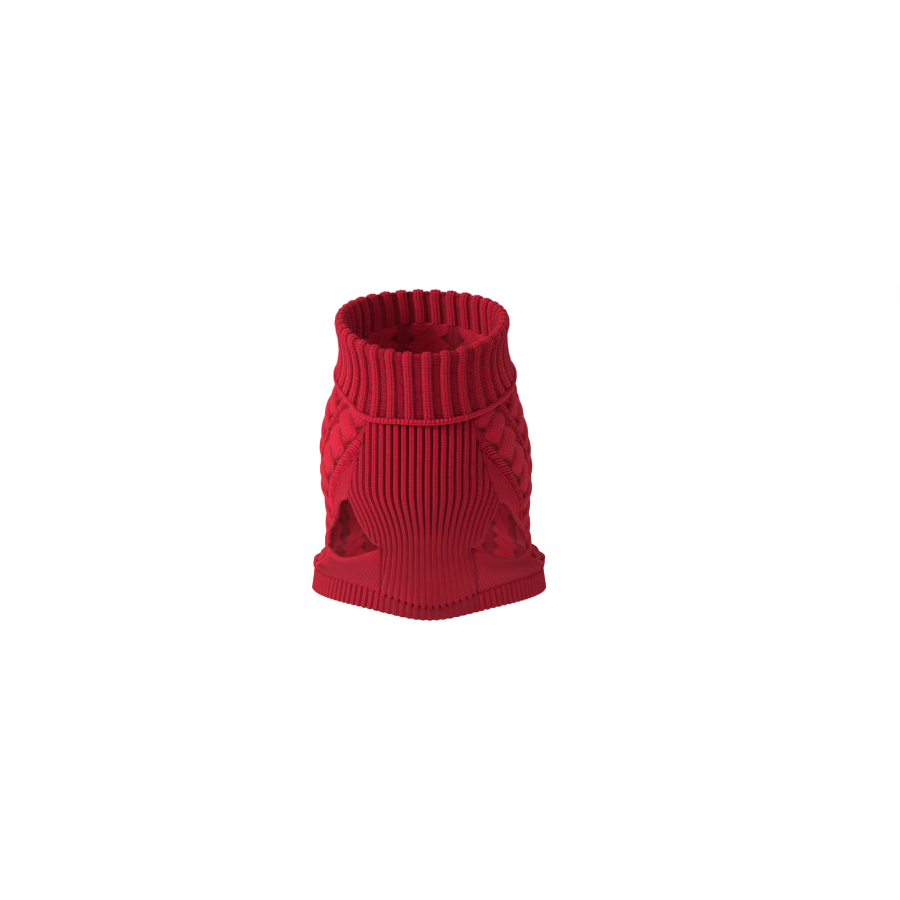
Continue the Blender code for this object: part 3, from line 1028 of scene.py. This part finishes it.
COLLAR_RIBS = 36
COLLAR_KNIT = 0.215
COLLAR_PURL = 0.28
COLLAR_STEPS = (0.036, 0.072, 0.145, 0.215, 0.245, 0.28, 0.315, 0.37, 0.435)
COLLAR_STOPS = (-0.5, *(-step for step in reversed(COLLAR_STEPS)), 0.0, *COLLAR_STEPS)
CROWDED_KNIT = 0.375
FRONT_SPREAD = 0.13
FRONT_PHASE = math.radians(3.0)
COLLAR_WIDE = math.radians(360 / COLLAR_RIBS)
RIB_PINCH = 0.085
RIB_WANDER = 0.004
COLLAR_RIB = 17.0
COLLAR_GROOVE = 0.6
INNER_GUTTER = 2.2
COLLAR_GUTTER = 3.1
COLLAR_LIFT = 1.5
COLLAR_WALL = 3.3
COLLAR_ROWS = 66
COLLAR_ROUND = 720
FOLD_START = 3
FOLD_END = 6
GUTTER_WALE = 0.073
FLAP_DRAWN_IN = 1.8
FLAP_SAG = 6.0
SAG_MIDDLE = math.radians(-38)
SAG_HALF = math.radians(16)
SAG_OUTWARD = 0.35
FRONT_SHADE = 0.2
FRONT_HALF = 0.6


def smooth_path(points, places):
    """Points at the given places along a path of knots, by cubics with three-point slopes."""
    step = np.linalg.norm(np.diff(points, axis=0), axis=-1).mean(axis=1)
    knots = np.concatenate([[0], np.cumsum(step)])
    secant = np.diff(points, axis=0) / step[:, None, None]
    weight = (step[1:] / (step[:-1] + step[1:]))[:, None, None]
    middle = secant[:-1] * weight + secant[1:] * (1 - weight)
    slope = np.concatenate([secant[:1], middle, secant[-1:]])
    at = places * knots[-1]
    k = np.clip(np.searchsorted(knots, at, side="right") - 1, 0, len(step) - 1)
    span = step[k][:, None, None]
    f = ((at - knots[k]) / step[k])[:, None, None]
    a, b = points[k], points[k + 1]
    m, n = slope[k] * span, slope[k + 1] * span
    return a + m * f + (3 * (b - a) - 2 * m - n) * f**2 + (2 * (a - b) + m + n) * f**3, at, knots


def collar_knots(angle):
    """Rows of points down the middle of the collar's cloth, from the neck seam to the flap's edge."""
    rings = [ring_points(angle, *row[1:]) for row in (COLLAR_INNER, COLLAR_FOLD, *COLLAR_FLAP)]
    up = np.array([0.0, -math.sin(COLLAR_TILT), math.cos(COLLAR_TILT)])
    along = np.roll(rings[1], -1, axis=0) - np.roll(rings[1], 1, axis=0)
    out = unit(np.cross(along, up))
    turns = [math.radians(turn) for turn in (0, *FOLD_TURNS, 180)]
    fold = [rings[1] + FOLD_RADIUS * (up * math.sin(turn) - out * math.cos(turn)) for turn in turns]
    at_neck = np.full_like(angle, NECKLINE)
    neck = body(angle, at_neck) - outward(body, angle, at_neck) * COLLAR_LIFT
    return np.array([neck, rings[0], *fold, *rings[2:]])


def crowding(angle):
    """How tightly the ribs crowd together, from 0 at the front to 1 at the sides."""
    aside = np.abs(wrapped_angle(angle))
    return smooth_step(aside, 0.6, 1.15) * (1 - 0.6 * smooth_step(aside, 1.9, 2.8))


def collar_columns():
    """The angle of each column of the collar, and its place in the rib."""
    rib, stop = np.meshgrid(np.arange(COLLAR_RIBS), COLLAR_STOPS, indexing="ij")
    knit = COLLAR_KNIT + (CROWDED_KNIT - COLLAR_KNIT) * crowding(rib * COLLAR_WIDE)
    beyond = knit + (np.abs(stop) - COLLAR_KNIT) * (0.5 - knit) / (0.5 - COLLAR_KNIT)
    moved = np.where(np.abs(stop) <= COLLAR_KNIT, stop * knit / COLLAR_KNIT, np.sign(stop) * beyond)
    plain = ((rib + moved) * COLLAR_WIDE).reshape(-1)
    return plain + FRONT_SPREAD * np.sin(2 * plain) + FRONT_PHASE, stop.reshape(-1)


def sagged_knots(angle):
    """The collar's knots, with the flap's edge hanging lower at one side of the front."""
    knots = collar_knots(angle)
    sag = FLAP_SAG * bell(wrapped_angle(angle - SAG_MIDDLE), SAG_HALF)
    fall = np.linspace(0, 1, len(COLLAR_FLAP) + 1)[1:] ** 2
    away = np.stack([np.sin(angle), -np.cos(angle), 0 * angle], -1)
    knots[-len(COLLAR_FLAP) :, :, 2] -= fall[:, None] * sag
    knots[-len(COLLAR_FLAP) :] += (fall[:, None] * sag * SAG_OUTWARD)[..., None] * away
    return knots


def make_collar():
    """The collar's cloth, its purl stitches, and the line, normals and directions of its edge."""
    base, stop = collar_columns()
    angle = np.linspace(0, 2 * math.pi, COLLAR_ROUND, endpoint=False)
    middle, at, marks = smooth_path(sagged_knots(angle), np.linspace(0, 1, COLLAR_ROWS))
    fold_end = marks[FOLD_END]
    flap = np.clip((at - fold_end) / (marks[-1] - fold_end), 0, 1)[:, None]
    pinch = RIB_PINCH * np.sin(base) * crowding(base)
    wander = RIB_WANDER * np.sin(3 * base + 1.0) * np.sin(2 * math.pi * flap)
    wrapped = (base - pinch * np.sin(math.pi * flap) + wander) % (2 * math.pi)
    full = np.concatenate([middle, middle[:, :1]], axis=1)
    turn = np.append(angle, 2 * math.pi)
    points = np.stack([read_line(wrapped[row], turn, full[row]) for row in range(COLLAR_ROWS)])
    across = np.roll(points, -1, axis=1) - np.roll(points, 1, axis=1)
    along = np.gradient(points, axis=0)
    normal = unit(np.cross(along, across))
    wave = np.zeros_like(wrapped)
    for each in COLLAR_WAVES:
        wave += each.height * bell(degrees_from(wrapped, each.angle), each.half_angle)
    wave *= np.sin(math.pi * flap)
    share = np.broadcast_to(stop, wrapped.shape)
    # Painted shade over the front of the flap.
    front = FRONT_SHADE * bell(wrapped_angle(base), FRONT_HALF) * smooth_step(flap, 0, 0.2)
    depth = INNER_GUTTER + (COLLAR_GUTTER - INNER_GUTTER) * smooth_step(flap, 0.0, 0.15)
    relief, wale, drop, lines = rib_relief(
        share, COLLAR_RIB, 3, depth, COLLAR_GROOVE, COLLAR_KNIT, COLLAR_PURL
    )
    down = at[:, None] + 0 * wrapped
    relief = relief - rounded_rim(marks[-1] - down)
    lift = COLLAR_LIFT - FLAP_DRAWN_IN * smooth_step(flap, 0.15, 0.8) + wave
    face = points + normal * (lift + relief)[..., None]
    sheet = grid(
        face,
        points + normal * (lift - COLLAR_WALL)[..., None],
        np.stack([np.broadcast_to(base, wrapped.shape), -down], -1),
        wrap=True,
        wale=np.where(drop > 0.5, (np.abs(share) - COLLAR_PURL) / GUTTER_WALE, wale),
        course=down / COURSE,
        purl=drop,
        # Painted shade: the gutters, the lines between wales, and the front of the flap.
        hollow=np.maximum(0.62 * drop, WALE_SHADE * lines) + front * (1 - drop),
    )
    piece = make_cloth("collar_rib_tube", [sheet], wool("collar_wool"))
    # The gutter purls take a darker copy of the wool, as painted shade in the gutters.
    purls = make_collar_purls(face, normal, at, marks, wool("collar_purl_wool", 0.72))
    return piece, purls, (points[-1] - FLAP_DRAWN_IN * normal[-1], normal[-1], along[-1])


PURL_PITCH = 2.6
PURL_SWAY = (0.8, -0.8, 0.8, -0.8, 0.8, -0.8, 0.8)
PURL_HEIGHTS = (-0.1, 0.4, 0.2, 0.45, 0.2, 0.4, -0.1)
PURL_RADII = (0.5, 0.95, 0.85, 0.95, 0.85, 0.95, 0.5)


def down_columns(values, at, places, picked):
    """Values read at some places down each of the picked columns."""
    return np.stack([read_line(place, at, values[:, column]) for place, column in zip(places, picked)], 1)


def make_collar_purls(face, normal, at, marks, material):
    """The purl stitches of each row of each gutter of the collar's outer face, as short yarns."""
    rows = np.arange(marks[FOLD_START], marks[-1] - 3.0, PURL_PITCH)
    places = rows + np.array(PURL_SWAY)[:, None]
    centres = []
    normals = []
    for rib in range(COLLAR_RIBS):
        picked = (rib * len(COLLAR_STOPS) + np.arange(-3, 4)) % face.shape[1]
        upright = unit(down_columns(normal, at, places, picked))
        centres.append(down_columns(face, at, places, picked) + upright * np.array(PURL_HEIGHTS)[:, None])
        normals.append(upright)
    return strands_mesh(
        "collar_gutter_purls", np.concatenate(centres), np.concatenate(normals), PURL_RADII, material, 5
    )


# ---- the collar's bound edge

EDGE_RADIUS = 2.9
TOOTH_PITCH = 4.2
TOOTH = 0.95
TOOTH_SIDE = math.radians(122)
TOOTH_SHADE = 0.7
STEPS_A_TOOTH = 8
EDGE_SIDES = 16
EDGE_WALES_ROUND = 5


def make_collar_edge(line, normal, along):
    """The bound edge: a roll of cloth with a row of small teeth along its upper side."""
    closed = np.concatenate([line, line[:1]])
    run = travelled(closed)
    teeth = round(run[-1] / TOOTH_PITCH)
    count = teeth * STEPS_A_TOOTH
    places = np.arange(count) / count * run[-1]

    def resampled(values):
        return read_line(places, run, np.concatenate([values, values[:1]]))

    out = resampled(normal)
    low = resampled(unit(along))
    centre = resampled(line) + out * 0.5 + low * 1.2
    turn = np.linspace(0, 2 * math.pi, EDGE_SIDES, endpoint=False)
    phase = 2 * math.pi * np.arange(count)[:, None] / STEPS_A_TOOTH
    tooth = np.maximum(np.sin(phase), -0.35) * np.maximum(np.cos(turn - TOOTH_SIDE), 0) ** 4
    reach = (EDGE_RADIUS + TOOTH * tooth)[..., None]
    points = centre[:, None] + reach * (
        low[:, None] * np.cos(turn)[:, None] + out[:, None] * np.sin(turn)[:, None]
    )
    number = np.arange(count * EDGE_SIDES).reshape(count, EDGE_SIDES)
    following = np.roll(number, -1, axis=0)
    quads = np.stack([number, np.roll(number, -1, axis=1), np.roll(following, -1, axis=1), following], -1)
    shade = TOOTH_SHADE * np.maximum(-np.sin(phase), 0) * np.maximum(np.cos(turn - TOOTH_SIDE), 0)
    fields = (turn / (2 * math.pi) * EDGE_WALES_ROUND, phase / (2 * math.pi), 0.0, shade)
    faces = quads.reshape(-1, 4).tolist()
    return new_piece("collar_bound_edge", points, faces, fields, wool("edge_wool", 1.05, 0.35))


# ---- the object

chest = make_chest_panel()
back_right, back_left = make_back_panel()
belly_hem = make_belly_hem()
back_hem = make_back_hem()
cable_purls = make_cable_rungs()
collar, collar_purls, flap_edge = make_collar()
collar_edge = make_collar_edge(*flap_edge)

STANDS_FOR = (
    (chest, "chest_panel", "chest_rib"),
    (back_right, "back_panel", "back_cable"),
    (back_left, "back_panel", "back_cable"),
    (belly_hem, "belly_hem", "hem_rib"),
    (back_hem, "back_hem", "hem_rib"),
    (collar, "collar", "collar_rib"),
    (collar_edge, "collar", "collar_rib"),
    (collar_purls, "collar", "collar_rib"),
    (cable_purls, "back_panel", "back_cable"),
)
for piece, node, material_slot in STANDS_FOR:
    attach(piece, "root")
    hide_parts(node)

# ---- floor, light and camera

FLOOR_Z = -0.335
FLOOR_HALF = 12.0
CAMERA_DISTANCE = 2.25
CAMERA_ELEVATION = 7.5


def make_floor():
    data = bpy.data.meshes.new("floor")
    corners = [(FLOOR_HALF * x, FLOOR_HALF * y, FLOOR_Z) for x, y in ((-1, -1), (1, -1), (1, 1), (-1, 1))]
    data.from_pydata(corners, [], [(0, 1, 2, 3)])
    material = bpy.data.materials.new("pale_floor")
    material.use_nodes = True
    shader = material.node_tree.nodes["Principled BSDF"]
    shader.inputs["Base Color"].default_value = (0.97, 0.97, 0.97, 1)
    shader.inputs["Roughness"].default_value = 0.9
    shader.inputs["Specular IOR Level"].default_value = 0.1
    data.materials.append(material)
    floor = new_object("floor", data)


def aim(obj, azimuth, elevation, distance):
    """Turns a lamp or the camera to the origin. Azimuth 0 is the front, and plus is to the camera's right."""
    a, e = math.radians(azimuth), math.radians(elevation)
    out = distance * math.cos(e)
    obj.location = (out * math.sin(a), -out * math.cos(a), distance * math.sin(e))
    obj.rotation_euler = (math.pi / 2 - e, 0, a)


def make_lamp(name, azimuth, elevation, distance, size, power):
    """A square soft lamp that faces the origin."""
    data = bpy.data.lights.new(name, "AREA")
    data.shape = "SQUARE"
    data.size = size
    data.energy = power
    aim(new_object(name, data), azimuth, elevation, distance)


def make_camera():
    data = bpy.data.cameras.new("camera")
    data.sensor_width = 36
    data.lens = 85.7
    data.shift_x = 0.0272
    data.shift_y = 0.0222
    camera = new_object("camera", data)
    aim(camera, 0, CAMERA_ELEVATION, CAMERA_DISTANCE)
    bpy.context.scene.camera = camera


def make_world():
    world = bpy.data.worlds.new("studio")
    bpy.context.scene.world = world
    world.use_nodes = True
    background = world.node_tree.nodes["Background"]
    background.inputs["Color"].default_value = (1.0, 1.0, 1.0, 1)
    background.inputs["Strength"].default_value = 1.04


make_floor()
make_lamp("key", azimuth=-66, elevation=30, distance=2.4, size=0.9, power=108)
make_lamp("behind", azimuth=150, elevation=40, distance=2.6, size=1.4, power=20)
make_world()
make_camera()
bpy.context.scene.view_settings.view_transform = "Standard"
